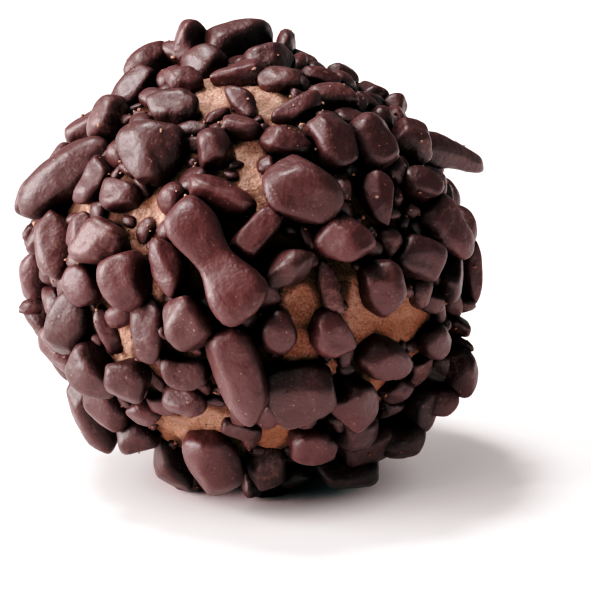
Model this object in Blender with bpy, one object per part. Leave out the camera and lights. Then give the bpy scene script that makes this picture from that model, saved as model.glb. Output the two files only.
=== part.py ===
"""A chocolate truffle: a soft praline ball, rolled in nuggets of crisp coated in dark chocolate.

Metres, +Z up. The front looks along -Y, and the origin is in the middle of the flat foot.
Ball and nuggets are one solid, because the nuggets are stuck into the ball for good.
"""

import math
from typing import NamedTuple

import bmesh
import bpy
import numpy as np

MM = 0.001

# Driving dimensions
BALL_RADIUS = 14.0 * MM
BALL_MIDDLE_HEIGHT = 16.0 * MM
BALL_SUBDIVISIONS = 3
THICKEST_NUGGET = 3.2 * MM
TRAY_WIDTH = 60.0 * MM
TRAY_DEPTH = 10.0 * MM

# Looks
CHOCOLATE_COLOUR = (0.075, 0.026, 0.022)
CHOCOLATE_ROUGHNESS = 0.42
PRALINE_COLOUR = (0.50, 0.29, 0.17)
PRALINE_ROUGHNESS = 0.90
SHARP_FROM = math.radians(35.0)

# The front view that the nuggets' places are read in: its scale, the ball's middle in it, and the eye
PIXELS_PER_MM = 14.0
VIEW_MIDDLE = 295.5
MIDDLE_SEEN_X = 250.0
MIDDLE_SEEN_Y = 262.0
EYE_ELEVATION = math.radians(16.0)
EYE_DISTANCE = 240.0 * MM
BALL_MIDDLE = np.array([0.0, 0.0, BALL_MIDDLE_HEIGHT])
TO_EYE = np.array([0.0, -math.cos(EYE_ELEVATION), math.sin(EYE_ELEVATION)])
SEEN_RIGHT = np.array([1.0, 0.0, 0.0])
SEEN_UP = np.array([0.0, math.sin(EYE_ELEVATION), math.cos(EYE_ELEVATION)])
MM_RIGHT_OF_VIEW = (MIDDLE_SEEN_X - VIEW_MIDDLE) / PIXELS_PER_MM
MM_OVER_VIEW = (VIEW_MIDDLE - MIDDLE_SEEN_Y) / PIXELS_PER_MM
LOOKED_AT = BALL_MIDDLE - (SEEN_RIGHT * MM_RIGHT_OF_VIEW + SEEN_UP * MM_OVER_VIEW) * MM
EYE = LOOKED_AT + TO_EYE * EYE_DISTANCE

# How nuggets lie on the ball
RIDING_HEIGHT = 0.50       # of a nugget's half height, its middle's height over the ball's surface
LEAST_SINKING = 0.45 * MM  # how deep every nugget reaches under the ball's surface
ROOT_DEPTH = 0.80 * MM     # how deep its root is stuck in the ball
BODY_SHARE = 0.85          # of the box round a nugget, how far its rounded body reaches
LYING_SHARE = 0.62         # how far a seen nugget lies flat on the ball, rather than square to the eye
LEAST_SHORTENING = 0.92    # of its length or width, the most that being seen aslant is made up for

# How nuggets are strewn over the rest of the ball
STREW_SEED = 6
TRIES_PER_SIZE = 6000
STREWN_SIZES_MM = ((4.6, 3.3), (4.0, 3.0), (3.4, 2.7), (2.8, 2.3))
STREWN_GROWTH = (0.88, 1.12)
STREWN_FORMS = ("pebble", "block", "pebble", "slab", "drop")
STREWN_TILT = 0.30
MOST_STREWN_LIFT = 0.35 * MM
CLOSENESS = 0.90           # of two nuggets' half sizes together, the least distance between their middles
SEEN_FACING = 0.32         # cosine between the ball's outward way and the eye, beyond which they are strewn

# The nuggets' solids, with fewer corners to a small one, and growth that makes up for the flat facets
SHAPE_SEED = 20
FEW_CORNERS, SOME_CORNERS, MANY_CORNERS = 8, 11, 14
SMALL_NUGGET = 2.6 * MM
LARGE_NUGGET = 4.2 * MM
FACETING_GROWTH = 1.06
ROUNDNESS = 0.20           # how much of a round pebble is in every nugget
WAIST_LENGTH = 0.40        # of half a pinched nugget's length


class Form(NamedTuple):
    """What shapes a nugget: leaning sides and cut corners. It may narrow, pinch or bend along its length."""

    corner_cuts: int
    lean: float
    sharpness: float
    height: float
    taper: float = 0.10
    waist: float = 0.0
    bend: float = 0.0
    sides: str = "box"


FORMS = {
    "pebble": Form(corner_cuts=1, lean=0.26, sharpness=7.0, height=0.90, sides="stone"),
    "block": Form(corner_cuts=3, lean=0.26, sharpness=9.0, height=0.92),
    "slab": Form(corner_cuts=3, lean=0.26, sharpness=8.0, height=0.72),
    "drop": Form(corner_cuts=1, lean=0.24, sharpness=7.0, height=0.85, taper=0.50, sides="stone"),
    "roof": Form(corner_cuts=1, lean=0.12, sharpness=11.0, height=0.95, taper=0.20, sides="roof"),
    "wedge": Form(corner_cuts=0, lean=0.08, sharpness=12.0, height=0.95, taper=0.55, sides="roof"),
    "bow": Form(corner_cuts=2, lean=0.20, sharpness=7.0, height=0.85, bend=0.45),
    "bone": Form(corner_cuts=2, lean=0.12, sharpness=6.0, height=0.85, taper=0.22, waist=0.44),
}

# The ways that the sides of a box, and of one with a ridge along its top, face. The x way is the length.
BOX_SIDES = ((1.0, 0, 0), (-1.0, 0, 0), (0, 1.0, 0), (0, -1.0, 0), (0, 0, 1.0), (0, 0, -1.0))
ROOF_SIDES = ((1.0, 0, 0), (-1.0, 0, 0), (0, 1.0, 0.9), (0, -1.0, 0.9), (0, 0.3, -1.0))
STONE_SIDES = 9            # flats of a stone, spread evenly and turned at random
SIDE_DISTANCES = (0.82, 1.0)
CUT_DISTANCES = (0.90, 1.12)


class Nugget(NamedTuple):
    """A nugget that the front shows. Its length turns clockwise from level, in degrees, narrow end first."""

    seen_x: float
    seen_y: float
    length_mm: float
    width_mm: float
    turn: float
    form: str
    lift_mm: float


TOP_NUGGETS = (
    (188, 34, 3.1, 2.4, -45, "pebble", 0.4),
    (148, 57, 4.3, 2.2, -42, "slab", 0.0),
    (176, 51, 3.0, 1.6, 15, "block", 0.6),
    (133, 90, 4.1, 2.4, -55, "block", 0.4),
    (181, 79, 2.7, 2.0, 20, "pebble", 0.6),
    (172, 106, 3.7, 2.4, 0, "slab", 0.7),
    (236, 38, 5.7, 2.6, -15, "block", 0.2),
    (231, 54, 3.0, 1.6, -5, "pebble", 0.2),
    (238, 72, 4.0, 2.3, 170, "drop", 0.4),
    (243, 102, 3.0, 1.6, 50, "pebble", 0.3),
    (242, 126, 3.0, 1.7, 8, "pebble", 0.4),
    (190, 129, 2.6, 1.3, 0, "slab", 0.1),
    (214, 146, 2.9, 2.7, 90, "block", 0.5),
    (277, 58, 3.1, 1.6, 10, "block", 0.1),
    (303, 58, 3.3, 1.4, 25, "slab", 0.1),
    (279, 79, 3.0, 1.9, 5, "pebble", 0.3),
    (320, 77, 3.1, 1.4, 15, "pebble", 0.3),
    (333, 96, 3.6, 1.9, 5, "block", 0.3),
    (342, 76, 2.6, 2.1, 0, "pebble", 0.0),
    (297, 107, 3.7, 1.7, -25, "slab", 0.4),
    (287, 141, 3.6, 2.0, 12, "block", 0.3),
    (303, 189, 5.6, 4.7, 10, "pebble", 0.6),
    (333, 140, 4.1, 2.7, 60, "block", 0.8),
    (372, 141, 4.0, 3.1, 60, "block", 0.8),
    (415, 140, 3.5, 2.9, 45, "pebble", 0.8),
    (396, 106, 2.1, 1.9, 90, "pebble", 0.4),
    (368, 103, 2.4, 1.1, 35, "pebble", 0.3),
    (457, 146, 4.2, 2.3, 17, "slab", 0.6),
    (422, 184, 2.9, 2.3, 30, "block", 0.8),
    (444, 192, 3.1, 1.3, 75, "slab", 0.1),
)
LEFT_NUGGETS = (
    (88, 125, 4.0, 1.9, -33, "block", 0.2),
    (149, 150, 4.2, 5.9, 94, "wedge", 0.8),
    (62, 173, 7.5, 3.0, -40, "block", 0.9),
    (22, 195, 3.1, 1.1, -65, "slab", 0.2),
    (91, 181, 3.7, 1.9, -60, "bow", 0.5),
    (118, 196, 3.0, 2.4, 20, "pebble", 0.4),
    (98, 242, 3.9, 3.4, -15, "pebble", 0.6),
    (80, 233, 3.0, 2.0, -60, "pebble", 0.2),
    (52, 245, 5.1, 2.6, 80, "block", 0.6),
    (33, 275, 4.0, 2.4, 100, "block", 0.5),
    (40, 322, 3.6, 2.1, 60, "block", 0.4),
    (83, 285, 3.0, 2.7, 60, "block", 0.4),
    (124, 283, 4.0, 3.3, 70, "block", 0.8),
    (167, 266, 4.3, 2.7, 70, "pebble", 0.5),
    (68, 324, 4.6, 3.1, -70, "pebble", 0.5),
    (106, 331, 3.6, 1.4, 62, "slab", 0.3),
    (148, 330, 4.6, 2.7, 85, "pebble", 0.3),
)
MIDDLE_NUGGETS = (
    (220, 194, 4.9, 2.3, 20, "roof", 0.7),
    (214, 259, 9.3, 4.7, 238, "bone", 1.3),
    (210, 305, 2.1, 1.3, 20, "pebble", 0.2),
    (256, 233, 4.3, 2.1, -50, "block", 0.5),
    (289, 267, 3.9, 2.7, -35, "pebble", 0.6),
    (346, 240, 3.7, 3.4, 30, "pebble", 0.6),
    (330, 288, 3.9, 1.9, -105, "drop", 0.3),
    (278, 332, 3.1, 2.7, 90, "block", 0.3),
    (188, 325, 3.9, 3.3, 60, "block", 0.9),
    (379, 198, 3.9, 2.7, 80, "drop", 0.5),
)
RIGHT_NUGGETS = (
    (446, 228, 4.7, 3.1, 50, "slab", 0.8),
    (420, 258, 3.9, 3.1, 15, "slab", 0.5),
    (457, 266, 2.4, 1.4, -60, "pebble", 0.4),
    (468, 268, 3.9, 1.3, 85, "slab", 0.2),
    (475, 272, 5.0, 1.4, 88, "slab", 0.1),
    (384, 286, 4.0, 3.0, 75, "pebble", 0.5),
    (431, 302, 2.0, 1.7, 20, "pebble", 0.2),
    (451, 301, 2.7, 1.7, 80, "pebble", 0.3),
    (467, 330, 2.6, 2.0, 20, "drop", 0.4),
    (433, 340, 2.9, 2.7, 20, "pebble", 0.4),
    (332, 337, 3.6, 3.1, 40, "pebble", 0.4),
    (384, 360, 3.9, 3.1, 30, "pebble", 0.5),
    (397, 390, 2.7, 2.0, -10, "pebble", 0.3),
    (446, 366, 3.4, 2.6, -50, "pebble", 0.4),
    (468, 376, 3.6, 2.0, 100, "block", 0.2),
    (445, 404, 3.0, 1.9, -50, "pebble", 0.3),
    (424, 415, 3.9, 2.0, -65, "block", 0.3),
)
LOW_NUGGETS = (
    (92, 374, 4.4, 3.0, 50, "pebble", 0.7),
    (127, 379, 3.3, 2.9, 30, "pebble", 0.5),
    (152, 376, 3.4, 0.9, 50, "slab", 0.1),
    (185, 373, 3.5, 2.0, 8, "bow", 0.6),
    (183, 401, 3.2, 2.1, 10, "pebble", 0.5),
    (90, 420, 5.7, 2.4, 62, "block", 0.3),
    (104, 414, 2.6, 1.4, 60, "pebble", 0.4),
    (144, 413, 2.4, 2.0, 20, "block", 0.4),
    (135, 438, 3.3, 2.9, 30, "pebble", 0.6),
    (174, 469, 4.8, 2.6, 52, "pebble", 0.3),
    (240, 378, 6.9, 3.6, 68, "block", 1.0),
    (298, 395, 5.1, 4.4, -10, "block", 0.6),
    (354, 403, 4.3, 3.6, 60, "pebble", 0.6),
    (242, 431, 3.0, 1.3, 18, "slab", 0.3),
    (214, 466, 5.5, 4.0, 70, "block", 0.8),
    (267, 470, 4.0, 2.9, 80, "block", 0.5),
    (313, 444, 3.3, 2.7, -5, "block", 0.6),
    (294, 477, 2.7, 1.9, -20, "pebble", 0.3),
    (372, 444, 6.0, 2.9, -25, "block", 0.5),
    (410, 447, 3.9, 2.0, -40, "pebble", 0.2),
    (352, 477, 4.9, 2.3, -5, "pebble", 0.2),
)


class Foot(NamedTuple):
    """A nugget that the truffle stands on, by its angle from straight down, its bearing, size and turn."""

    from_down: float
    bearing: float
    length_mm: float
    width_mm: float
    turn: float


FOOT_NUGGETS = (
    (0, 0, 4.4, 3.6, 20),
    (17, 10, 3.8, 3.0, 70),
    (18, 85, 4.0, 3.0, 10),
    (17, 150, 3.6, 3.2, 110),
    (18, 215, 4.2, 3.0, 60),
    (17, 290, 3.8, 3.2, 20),
)
FOOT_FORM = "block"
FOOT_LIFT = 0.90 * MM
FOOT_LEVELLING = 2.0  # how much more a foot's height follows the vertical than the ball's outward way


class Placed(NamedTuple):
    """A nugget in its place. The axes are the directions of its length, width and height."""

    middle: np.ndarray
    axes: np.ndarray
    half_sizes: np.ndarray
    form: Form


def unit(vector):
    return vector / np.linalg.norm(vector)


def stance(width_mm, form, lift):
    """The radius that a nugget's middle lies at, and half its height."""
    half_height = min(width_mm * MM * form.height, THICKEST_NUGGET) / 2
    return BALL_RADIUS + RIDING_HEIGHT * half_height + lift, half_height


def laid(middle, thin_axis, length_way, length_mm, width_mm, half_height, form):
    """A nugget with its height along the thin axis, and its length as near to the given way as that allows.

    One that would clear the ball is made longer inwards, along its most outward axis, until it reaches in.
    """
    along = unit(length_way - thin_axis * length_way.dot(thin_axis))
    axes = np.array([along, np.cross(thin_axis, along), thin_axis])
    half_sizes = np.array([length_mm * MM / 2, width_mm * MM / 2, half_height])
    outward = unit(middle - BALL_MIDDLE)
    slopes = np.abs(axes @ outward)
    lowest = np.linalg.norm(middle - BALL_MIDDLE) - half_sizes @ slopes * BODY_SHARE
    short = lowest - (BALL_RADIUS - LEAST_SINKING)
    if short > 0:
        longest = np.argmax(half_sizes * slopes)
        half_sizes[longest] += short / 2 / slopes[longest]
        middle = middle - outward * short / 2
    return Placed(middle, axes, half_sizes, form)


def seen_point(seen_x, seen_y, radius):
    """Where the ray to a place in the front view meets a ball of this radius, or else passes nearest it."""
    across = (seen_x - VIEW_MIDDLE) / PIXELS_PER_MM * MM
    up = (VIEW_MIDDLE - seen_y) / PIXELS_PER_MM * MM
    ray = unit(LOOKED_AT + SEEN_RIGHT * across + SEEN_UP * up - EYE)
    nearest = EYE + ray * (BALL_MIDDLE - EYE).dot(ray)
    miss = np.linalg.norm(nearest - BALL_MIDDLE)
    return nearest - ray * math.sqrt(max(radius**2 - miss**2, 0.0))


def seen_share(way):
    """How much of a length along this way the front view shows, but no less than it is made up for."""
    return max(math.sqrt(1 - way.dot(TO_EYE) ** 2), LEAST_SHORTENING)


def place_seen(nugget):
    """Stand a nugget of the table on the ball, so that the front shows it as the table says."""
    form = FORMS[nugget.form]
    radius, half_height = stance(nugget.width_mm, form, nugget.lift_mm * MM)
    middle = seen_point(nugget.seen_x, nugget.seen_y, radius)
    thin_axis = unit(unit(middle - BALL_MIDDLE) * LYING_SHARE + TO_EYE * (1 - LYING_SHARE))
    turn = math.radians(nugget.turn)
    seen_way = SEEN_RIGHT * math.cos(turn) - SEEN_UP * math.sin(turn)
    # the way in the nugget's own plane that the front shows along the turn
    length_way = unit(seen_way - TO_EYE * seen_way.dot(thin_axis) / TO_EYE.dot(thin_axis))
    length_mm = nugget.length_mm / seen_share(length_way)
    width_mm = nugget.width_mm / seen_share(np.cross(thin_axis, length_way))
    return laid(middle, thin_axis, length_way, length_mm, width_mm, half_height, form)


def place_foot(foot):
    """Stand a nugget under the ball, nearly flat to the ground."""
    from_down, bearing, turn = (math.radians(angle) for angle in (foot.from_down, foot.bearing, foot.turn))
    level = np.array([math.cos(bearing), math.sin(bearing), 0.0])
    down = np.array([0.0, 0.0, -1.0])
    outward = level * math.sin(from_down) + down * math.cos(from_down)
    length_way = np.array([math.cos(turn), math.sin(turn), 0.0])
    form = FORMS[FOOT_FORM]
    radius, half_height = stance(foot.width_mm, form, FOOT_LIFT)
    thin_axis = unit(outward + down * FOOT_LEVELLING)
    middle = BALL_MIDDLE + outward * radius
    return laid(middle, thin_axis, length_way, foot.length_mm, foot.width_mm, half_height, form)


def strew(placed, sizes_mm, random):
    """Fill the part of the ball that the front doesn't show, largest nuggets first."""
    ways = [unit(nugget.middle - BALL_MIDDLE) for nugget in placed]
    halves = [nugget.half_sizes[:2].mean() for nugget in placed]
    for length_mm, width_mm in sizes_mm:
        half = (length_mm + width_mm) * MM / 4
        for outward in random.normal(size=(TRIES_PER_SIZE, 3)):
            outward = unit(outward)
            to_eye = unit(EYE - BALL_MIDDLE - outward * BALL_RADIUS)
            apart = np.linalg.norm(np.array(ways) - outward, axis=1) * BALL_RADIUS
            if outward.dot(to_eye) > SEEN_FACING or np.any(apart < (np.array(halves) + half) * CLOSENESS):
                continue
            form = FORMS[STREWN_FORMS[random.integers(len(STREWN_FORMS))]]
            length, width = np.array([length_mm, width_mm]) * random.uniform(*STREWN_GROWTH, size=2)
            radius, half_height = stance(width, form, random.uniform(0.0, MOST_STREWN_LIFT))
            thin_axis = unit(outward + random.normal(size=3) * STREWN_TILT)
            middle = BALL_MIDDLE + outward * radius
            placed.append(laid(middle, thin_axis, random.normal(size=3), length, width, half_height, form))
            ways.append(outward)
            halves.append(half)
    return placed


def even_directions(count):
    """Directions spread evenly: turned by the golden angle from one to the next, at even steps of height."""
    step = np.arange(count)
    height = 1 - (2 * step + 1) / count
    angle = step * math.pi * (3 - math.sqrt(5))
    ring = np.sqrt(1 - height**2)
    return np.stack([ring * np.cos(angle), ring * np.sin(angle), height], axis=1)


def flats_of(form, random):
    """The flats that bound a nugget: their outward ways, and their distances from its middle."""
    turned = np.linalg.qr(random.normal(size=(3, 3)))[0]
    sides = {"box": BOX_SIDES, "roof": ROOF_SIDES, "stone": even_directions(STONE_SIDES) @ turned}[form.sides]
    sides = np.array(sides) + random.normal(size=np.shape(sides)) * form.lean
    cuts = random.normal(size=(form.corner_cuts, 3))
    side_distances = random.uniform(*SIDE_DISTANCES, len(sides))
    cut_distances = random.uniform(*CUT_DISTANCES, len(cuts))
    ways = np.concatenate([sides, cuts])
    ways /= np.linalg.norm(ways, axis=1)[:, None]
    return ways, np.concatenate([side_distances, cut_distances])


def surface_points(directions, form, flats):
    """A nugget's surface along these directions.

    Its distance r from the middle is (roundness + sum over the flats of max(0, way . d / distance)^s)^(-1/s),
    with s the sharpness, so that the flats meet in rounded edges.
    """
    ways, distances = flats
    reach = np.maximum(directions @ ways.T / distances, 0.0)
    total = (reach**form.sharpness).sum(axis=1) + ROUNDNESS
    return directions / total[:, None] ** (1 / form.sharpness)


def in_form(points, form):
    """Points of a nugget brought into a box of half size 1, then narrowed, pinched and bent lengthwise."""
    low, high = points.min(axis=0), points.max(axis=0)
    along, across, up = ((points - (low + high) / 2) / ((high - low) / 2)).T
    girth = 1 - form.taper * (along + 1) / 2 - form.waist * np.exp(-((along / WAIST_LENGTH) ** 2))
    return np.stack([along, across * girth + form.bend * (along**2 - 0.4), up * girth], axis=1)


def rooted(points, nugget):
    """Points of a nugget, its inner half drawn out towards the ball's middle until it is stuck in the ball."""
    outward = unit(nugget.middle - BALL_MIDDLE)
    height = (points - nugget.middle) @ outward
    needed = np.linalg.norm(nugget.middle - BALL_MIDDLE) - (BALL_RADIUS - ROOT_DEPTH)
    growth = max(needed / -height.min(), 1.0) - 1
    return points + np.outer(np.minimum(height, 0.0) * growth, outward)


def nugget_object(index, nugget, collection, material):
    """Make the solid of one nugget: the hull of a few points of its surface."""
    length = nugget.half_sizes[0] * 2
    corners = MANY_CORNERS
    if length < LARGE_NUGGET:
        corners = FEW_CORNERS if length < SMALL_NUGGET else SOME_CORNERS
    flats = flats_of(nugget.form, np.random.default_rng((SHAPE_SEED, index)))
    solid = bmesh.new()
    for point in surface_points(even_directions(corners), nugget.form, flats):
        solid.verts.new(point)
    bmesh.ops.convex_hull(solid, input=solid.verts)
    local = in_form(np.array([vert.co for vert in solid.verts]), nugget.form)
    points = nugget.middle + local * nugget.half_sizes * FACETING_GROWTH @ nugget.axes
    for vert, point in zip(solid.verts, rooted(points, nugget)):
        vert.co = point
    mesh = bpy.data.meshes.new(f"nugget_{index}")
    solid.to_mesh(mesh)
    solid.free()
    mesh.materials.append(material)
    collection.objects.link(bpy.data.objects.new(f"nugget_{index}", mesh))


def make_material(name, colour, roughness):
    material = bpy.data.materials.new(name)
    material.use_nodes = True
    shader = material.node_tree.nodes["Principled BSDF"]
    shader.inputs["Base Color"].default_value = (*colour, 1.0)
    shader.inputs["Roughness"].default_value = roughness
    shader.inputs["Metallic"].default_value = 0.0
    return material


def apply_modifiers(piece):
    """Replace an object's mesh by what its modifiers make of it."""
    graph = bpy.context.evaluated_depsgraph_get()
    made = bpy.data.meshes.new_from_object(piece.evaluated_get(graph))
    piece.modifiers.clear()
    piece.data = made


def keep_largest_shell(mesh):
    """Drop the hollows that are shut in between nuggets, and loose scraps."""
    solid = bmesh.new()
    solid.from_mesh(mesh)
    shells = []
    left = set(solid.verts)
    while left:
        shell = set()
        border = {left.pop()}
        while border:
            vert = border.pop()
            shell.add(vert)
            border |= {edge.other_vert(vert) for edge in vert.link_edges} - shell
        left -= shell
        shells.append(shell)
    largest = max(shells, key=len)
    bmesh.ops.delete(solid, geom=[vert for vert in solid.verts if vert not in largest], context="VERTS")
    bmesh.ops.triangulate(solid, faces=solid.faces)
    solid.to_mesh(mesh)
    solid.free()


def make_ball(material):
    solid = bmesh.new()
    bmesh.ops.create_icosphere(solid, subdivisions=BALL_SUBDIVISIONS, radius=BALL_RADIUS)
    bmesh.ops.translate(solid, vec=BALL_MIDDLE, verts=solid.verts)
    mesh = bpy.data.meshes.new("truffle")
    solid.to_mesh(mesh)
    solid.free()
    mesh.materials.append(material)
    ball = bpy.data.objects.new("truffle", mesh)
    bpy.context.scene.collection.objects.link(ball)
    return ball


def make_tray(material):
    """The ground under the truffle, which cuts the flats that it stands on."""
    solid = bmesh.new()
    bmesh.ops.create_cube(solid, size=1.0)
    bmesh.ops.scale(solid, vec=(TRAY_WIDTH, TRAY_WIDTH, TRAY_DEPTH), verts=solid.verts)
    bmesh.ops.translate(solid, vec=(0, 0, -TRAY_DEPTH / 2), verts=solid.verts)
    mesh = bpy.data.meshes.new("tray")
    solid.to_mesh(mesh)
    solid.free()
    mesh.materials.append(material)
    tray = bpy.data.objects.new("tray", mesh)
    tray.hide_render = True
    tray.display_type = "WIRE"
    bpy.context.scene.collection.objects.link(tray)
    return tray


def place_nuggets():
    """All nuggets in their places: those that the front shows, those underneath, then the rest."""
    table = TOP_NUGGETS + LEFT_NUGGETS + MIDDLE_NUGGETS + RIGHT_NUGGETS + LOW_NUGGETS
    placed = [place_seen(Nugget(*row)) for row in table]
    placed += [place_foot(Foot(*row)) for row in FOOT_NUGGETS]
    return strew(placed, STREWN_SIZES_MM, np.random.default_rng(STREW_SEED))


def main():
    for piece in list(bpy.data.objects):
        bpy.data.objects.remove(piece)
    chocolate = make_material("chocolate", CHOCOLATE_COLOUR, CHOCOLATE_ROUGHNESS)
    praline = make_material("praline", PRALINE_COLOUR, PRALINE_ROUGHNESS)
    nuggets = bpy.data.collections.new("nuggets")
    bpy.context.scene.collection.children.link(nuggets)
    for index, nugget in enumerate(place_nuggets()):
        nugget_object(index, nugget, nuggets, chocolate)

    truffle = make_ball(praline)
    joined = truffle.modifiers.new("nuggets", "BOOLEAN")
    joined.operation = "UNION"
    joined.operand_type = "COLLECTION"
    joined.collection = nuggets
    joined.solver = "EXACT"
    joined.material_mode = "TRANSFER"
    apply_modifiers(truffle)
    for piece in list(nuggets.objects):
        bpy.data.objects.remove(piece)

    tray = make_tray(chocolate)
    footed = truffle.modifiers.new("foot", "BOOLEAN")
    footed.operation = "DIFFERENCE"
    footed.object = tray
    footed.solver = "EXACT"
    footed.material_mode = "TRANSFER"
    apply_modifiers(truffle)
    bpy.data.objects.remove(tray)

    keep_largest_shell(truffle.data)
    truffle.data.shade_smooth()
    truffle.data.set_sharp_from_angle(angle=SHARP_FROM)


main()
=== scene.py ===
"""A chocolate truffle: a soft praline ball, rolled in nuggets of crisp coated in dark chocolate.

Metres, +Z up. The front looks along -Y, and the origin is in the middle of the flat foot.
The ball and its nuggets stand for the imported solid, and keep its form and its nuggets' places.
"""

import functools
import math
from typing import NamedTuple

import bpy
import numpy as np
from bpy.props import FloatProperty, FloatVectorProperty, IntProperty, PointerProperty
from bpy.types import Operator, Panel, PropertyGroup
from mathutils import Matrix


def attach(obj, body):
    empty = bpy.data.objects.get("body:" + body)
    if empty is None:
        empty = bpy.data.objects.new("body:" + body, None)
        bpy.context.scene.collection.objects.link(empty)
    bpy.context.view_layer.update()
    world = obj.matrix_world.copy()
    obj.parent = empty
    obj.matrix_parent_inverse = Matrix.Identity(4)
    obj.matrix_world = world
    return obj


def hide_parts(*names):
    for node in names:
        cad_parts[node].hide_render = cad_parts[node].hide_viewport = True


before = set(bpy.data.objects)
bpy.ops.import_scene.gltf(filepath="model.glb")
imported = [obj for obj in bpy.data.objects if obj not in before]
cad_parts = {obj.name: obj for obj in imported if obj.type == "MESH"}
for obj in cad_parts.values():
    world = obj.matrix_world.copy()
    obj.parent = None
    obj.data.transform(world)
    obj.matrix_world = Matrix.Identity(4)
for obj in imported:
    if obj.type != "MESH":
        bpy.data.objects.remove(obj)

bl_info = {
    "name": "Chocolate truffle",
    "version": (1, 0, 0),
    "blender": (4, 5, 0),
    "location": "View3D > Sidebar > Truffle",
    "description": "A praline ball coated in nuggets of crisp in dark chocolate",
    "category": "Object",
}

MM = 0.001

# Driving dimensions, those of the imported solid
BALL_RADIUS = 14.0 * MM
BALL_MIDDLE_HEIGHT = 16.0 * MM
THICKEST_NUGGET = 3.2 * MM

# The front view that the nuggets' places are read in: its scale, the ball's middle in it, and the eye
PIXELS_PER_MM = 14.0
VIEW_MIDDLE = 295.5
MIDDLE_SEEN_X = 250.0
MIDDLE_SEEN_Y = 262.0
EYE_ELEVATION = math.radians(16.0)
EYE_DISTANCE = 240.0 * MM
BALL_MIDDLE = np.array([0.0, 0.0, BALL_MIDDLE_HEIGHT])
TO_EYE = np.array([0.0, -math.cos(EYE_ELEVATION), math.sin(EYE_ELEVATION)])
SEEN_RIGHT = np.array([1.0, 0.0, 0.0])
SEEN_UP = np.array([0.0, math.sin(EYE_ELEVATION), math.cos(EYE_ELEVATION)])
MM_RIGHT_OF_VIEW = (MIDDLE_SEEN_X - VIEW_MIDDLE) / PIXELS_PER_MM
MM_OVER_VIEW = (VIEW_MIDDLE - MIDDLE_SEEN_Y) / PIXELS_PER_MM
LOOKED_AT = BALL_MIDDLE - (SEEN_RIGHT * MM_RIGHT_OF_VIEW + SEEN_UP * MM_OVER_VIEW) * MM
EYE = LOOKED_AT + TO_EYE * EYE_DISTANCE

# How nuggets lie on the ball
RIDING_HEIGHT = 0.50  # of a nugget's half height, its middle's height over the ball's surface
LEAST_SINKING = 0.45 * MM  # how deep every nugget reaches under the ball's surface
ROOT_DEPTH = 0.80 * MM  # how deep its root is stuck in the ball
BODY_SHARE = 0.85  # of the box round a nugget, how far its rounded body reaches
LYING_SHARE = 0.62  # how far a seen nugget lies flat on the ball, rather than square to the eye
LEAST_SHORTENING = 0.92  # of its length or width, the most that being seen aslant is made up for

# How nuggets are strewn over the rest of the ball
STREW_SEED = 6
TRIES_PER_SIZE = 6000
STREWN_SIZES_MM = ((4.6, 3.3), (4.0, 3.0), (3.4, 2.7), (2.8, 2.3))
STREWN_GROWTH = (0.88, 1.12)
STREWN_FORMS = ("pebble", "block", "pebble", "slab", "drop")
STREWN_TILT = 0.30
MOST_STREWN_LIFT = 0.35 * MM
CLOSENESS = 0.90  # of two nuggets' half sizes together, the least distance between their middles
SEEN_FACING = 0.32  # cosine between the ball's outward way and the eye, up to which they are strewn

# How bits fill the gaps between the nuggets
BIT_SEED = 5
TRIES_PER_BIT_SIZE = 9000
BIT_SIZES_MM = ((2.6, 2.0), (2.0, 1.6), (1.5, 1.2), (1.1, 0.9))
BIT_CLOSENESS = 0.78
PATCH_CLEARANCE = 0.5  # of a bit's half size, how far its middle stays outside a bare patch

# Crumbs: a crumb's size is the square of a random share of the largest radius
CRUMB_SEED = 9
CRUMB_RADIUS = 0.15 * MM
TAN_CRUMB_SHARES = (0.5, 1.0)
DARK_CRUMB_SHARES = (0.5, 0.95)
CRUMB_REACH = (0.65, 1.25)
CRUMB_STRETCH = (0.6, 1.4)
CLEAR_OF_BALL = 0.2 * MM  # how far over the ball a crumb lies on a nugget

# The shape of a nugget
SHAPE_SEED = 20
ROUNDNESS = 0.14  # how much of a round pebble is in every nugget
SHARPER = 1.6  # how much sharper a nugget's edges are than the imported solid's
WAIST_LENGTH = 0.40  # of half a pinched nugget's length
BEND_MIDDLE = 0.40  # keeps the middle of a bent nugget where it was
FULL_DENTS = 1.3 * MM  # half the width from which a nugget's dents are at their full depth

# How the praline climbs against the nuggets, and the edges of its bare patches
CLIMB_WIDTH = 0.45 * MM
PATCH_MARGIN_MM = 0.6
PATCH_BLUR_MM = 0.7
PATCH_RAGGEDNESS_MM = 0.25
BARE_CONTRAST = 1.5  # between bare and stained praline where the front shows none
FACING_CONTRAST = 6.0  # how sharply the front's patches end at the outline

# How many quads there are along a side of each ball, nugget, bit and crumb, and of a nugget's grid of places
BALL_STEPS = 115
NUGGET_STEPS = 12
BIT_STEPS = 4
CRUMB_STEPS = 2
PLACE_STEPS = 6

# Relief and stains as sums of soft waves: the share, length, seed and number of each
WAVE_SPREAD = (0.7, 1.5)  # of a length, how short and how long its single waves are
NUGGET_DENTS = ((1.0, 2.2 * MM, 31, 16), (0.30, 0.8 * MM, 32, 16))
PRALINE_LUMPS = ((1.0, 4.0 * MM, 41, 16), (0.5, 1.6 * MM, 42, 16))
PRALINE_SAND = ((1.0, 0.75 * MM, 43, 40), (0.6, 0.5 * MM, 44, 40))
PATCH_EDGES = ((1.0, 1.5 * MM, 51, 16),)
STAINS = ((1.0, 6.0 * MM, 52, 16),)


class Pattern(NamedTuple):
    """Waves in a material: their length, detail and roughness.

    They start to show where they are as high as the low value, and show fully from the high value.
    """

    wavelength: float
    detail: float
    roughness: float
    low: float = 0.30
    high: float = 0.70


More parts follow.
